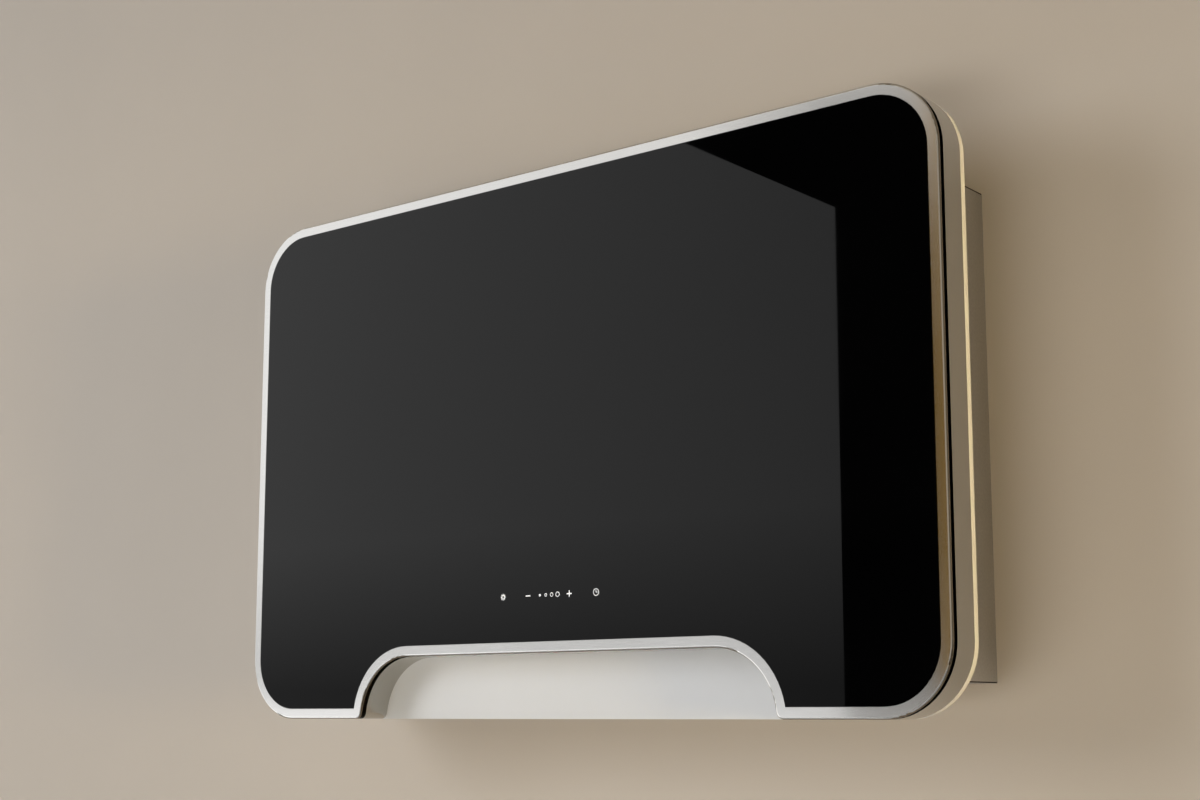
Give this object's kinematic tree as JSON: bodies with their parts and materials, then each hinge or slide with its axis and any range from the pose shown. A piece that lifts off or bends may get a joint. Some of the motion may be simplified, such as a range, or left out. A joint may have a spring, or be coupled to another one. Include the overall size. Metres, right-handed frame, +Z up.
{
  "type": "wall mount range hood",
  "caption": "Slim wall mount range hood: rounded steel shell, hinged black glass front with an arched notch at the foot, edge suction, touch controls, filters and blower.",
  "frame": {"origin": "centre of the four wall screw holes, on the wall plane at the back of the rear box", "axes": "+X to the right as the hood is seen from the room, +Y into the wall, +Z up"},
  "size_m": [0.9, 0.15, 0.574],
  "materials": {
    "black_glass": "polished, opaque black",
    "polished_steel": "mirror polished stainless steel",
    "pale_enamel": "pale satin enamel",
    "plain_steel": "plain steel sheet",
    "zinc_steel": "zinc-plated",
    "filter_aluminium": "bare aluminium",
    "black_plastic": "moulded, matt",
    "grey_plastic": "moulded, matt",
    "rubber": "moulded",
    "circuit_board": "lacquered board",
    "opal_plastic": "opal, diffusing",
    "charcoal": "granular block",
    "magnet_nickel": "nickel-plated"
  },
  "bodies": {
    "housing": {"hinge_brackets": "zinc_steel", "hinge_pins": "polished_steel", "magnet_carriers": "black_plastic", "catch_magnets": "magnet_nickel", "panel_buffers": "rubber", "front_shell": "polished_steel", "back_pan": "pale_enamel", "shell_brackets": "zinc_steel", "box_back": "plain_steel", "box_top": "plain_steel", "box_bottom": "plain_steel", "box_left": "plain_steel", "box_right": "plain_steel", "pan_screws": "zinc_steel", "filter_frame_left": "filter_aluminium", "filter_frame_right": "filter_aluminium", "filter_mesh_left": "filter_aluminium", "filter_mesh_right": "filter_aluminium", "filter_keepers": "zinc_steel", "blower_back": "grey_plastic", "blower_scroll": "grey_plastic", "blower_cover": "grey_plastic", "cover_screws": "zinc_steel", "inlet_guard": "zinc_steel", "motor_body": "plain_steel", "motor_grommets": "rubber", "motor_screws": "zinc_steel", "outlet_duct": "grey_plastic", "charcoal_filter": "charcoal", "outlet_grille": "black_plastic", "cable_gland": "black_plastic", "control_box": "grey_plastic", "control_board": "circuit_board", "board_components": "black_plastic", "terminal_block": "grey_plastic", "control_lid": "grey_plastic", "lamp_driver": "grey_plastic", "lamp_diffuser": "opal_plastic", "lamp_housing": "zinc_steel", "lamp_board": "circuit_board"},
    "front_panel": {"front_glass": "black_glass", "front_rim": "polished_steel", "panel_backing": "plain_steel", "panel_ribs": "zinc_steel", "touch_board": "circuit_board", "touch_cover": "black_plastic", "hinge_leaves": "zinc_steel", "hinge_studs": "zinc_steel", "catch_plates": "zinc_steel"},
    "fan": {"impeller": "black_plastic", "motor_shaft": "polished_steel"},
    "left_latch": {"filter_latch_left": "black_plastic"},
    "right_latch": {"filter_latch_right": "black_plastic"}
  },
  "joints": [
    {"name": "panel_hinge", "type": "hinge", "parent": "housing", "child": "front_panel", "pos_m": [0, -0.1445, 0.30375], "axis": [-1, 0, 0], "range_deg": [0, 60]},
    {"name": "fan_spin", "type": "hinge", "parent": "housing", "child": "fan", "pos_m": [0, -0.0317, -0.03], "axis": [0, -1, 0], "continuous": true},
    {"name": "left_latch_slide", "type": "slide", "parent": "housing", "child": "left_latch", "axis": [0, 0, -1], "range_m": [0, 0.006], "stiffness_N_per_m": 300, "springref_m": -0.002},
    {"name": "right_latch_slide", "type": "slide", "parent": "housing", "child": "right_latch", "axis": [0, 0, -1], "range_m": [0, 0.006], "stiffness_N_per_m": 300, "springref_m": -0.002}
  ]
}
